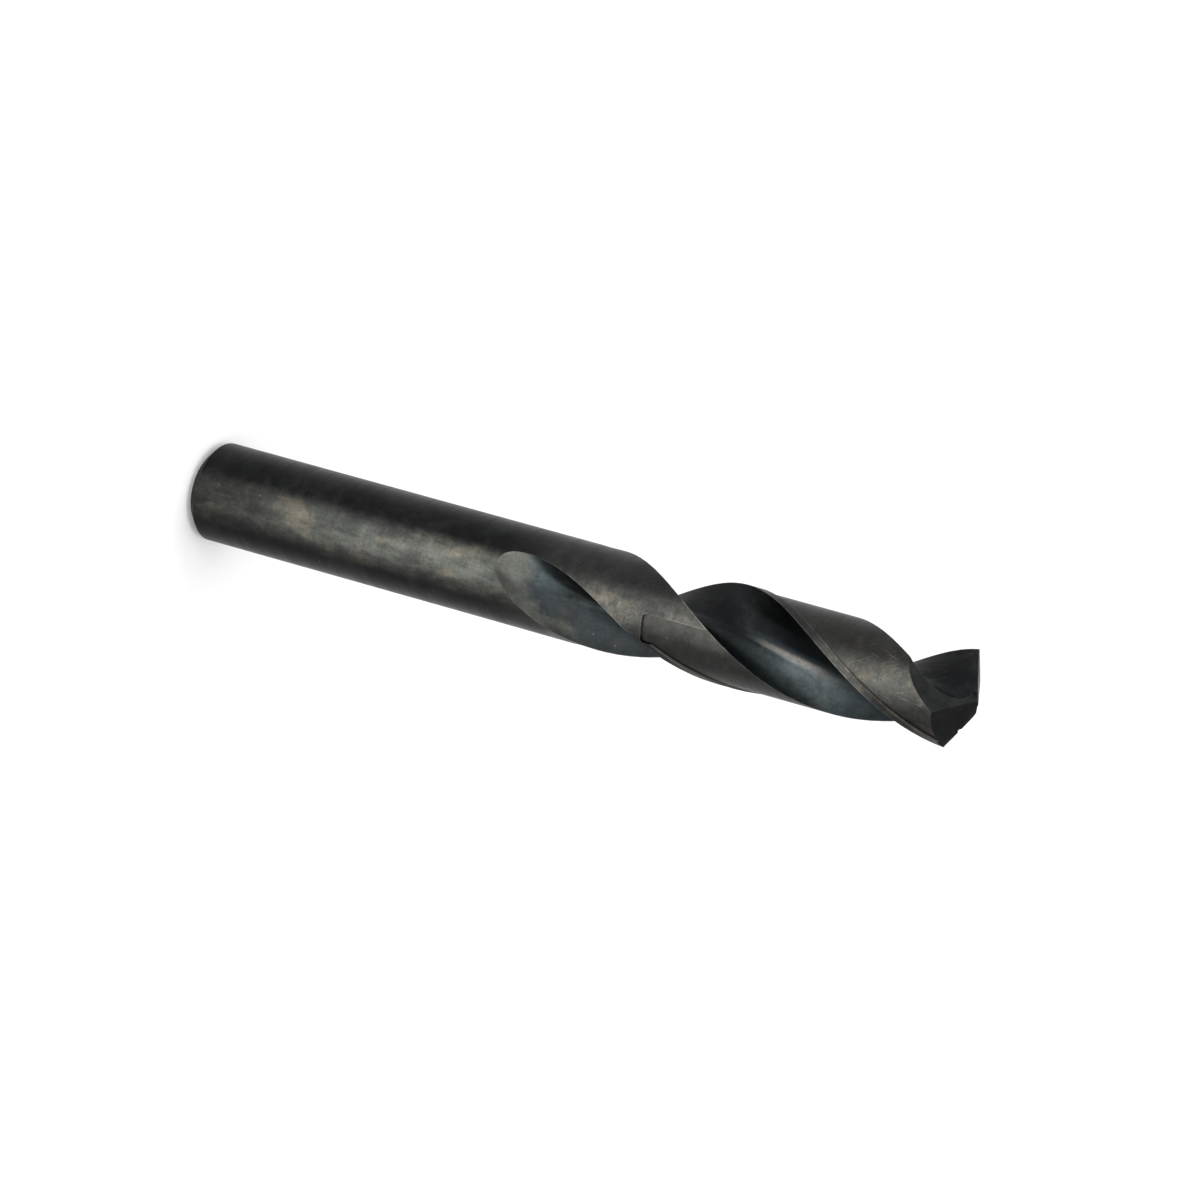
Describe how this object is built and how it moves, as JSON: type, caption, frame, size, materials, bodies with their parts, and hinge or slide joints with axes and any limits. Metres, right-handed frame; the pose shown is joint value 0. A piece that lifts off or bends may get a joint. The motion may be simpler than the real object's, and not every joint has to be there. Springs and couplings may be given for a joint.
{
  "type": "twist drill bit",
  "caption": "Stub-length right-hand twist drill bit: straight cylindrical shank, helical flutes with run-out, margins, body clearance and a split point.",
  "frame": {"origin": "centre of the shank's flat end face", "axes": "+Z along the drill's axis from the shank to the point; the cutting lips run parallel to X, and cutting turns the drill from +X to +Y"},
  "size_m": [0.0088, 0.0088, 0.0762],
  "materials": {
    "black_oxide_steel": "black oxide on ground high-speed steel"
  },
  "bodies": {
    "root": {"drill_bit": "black_oxide_steel"}
  },
  "joints": []
}
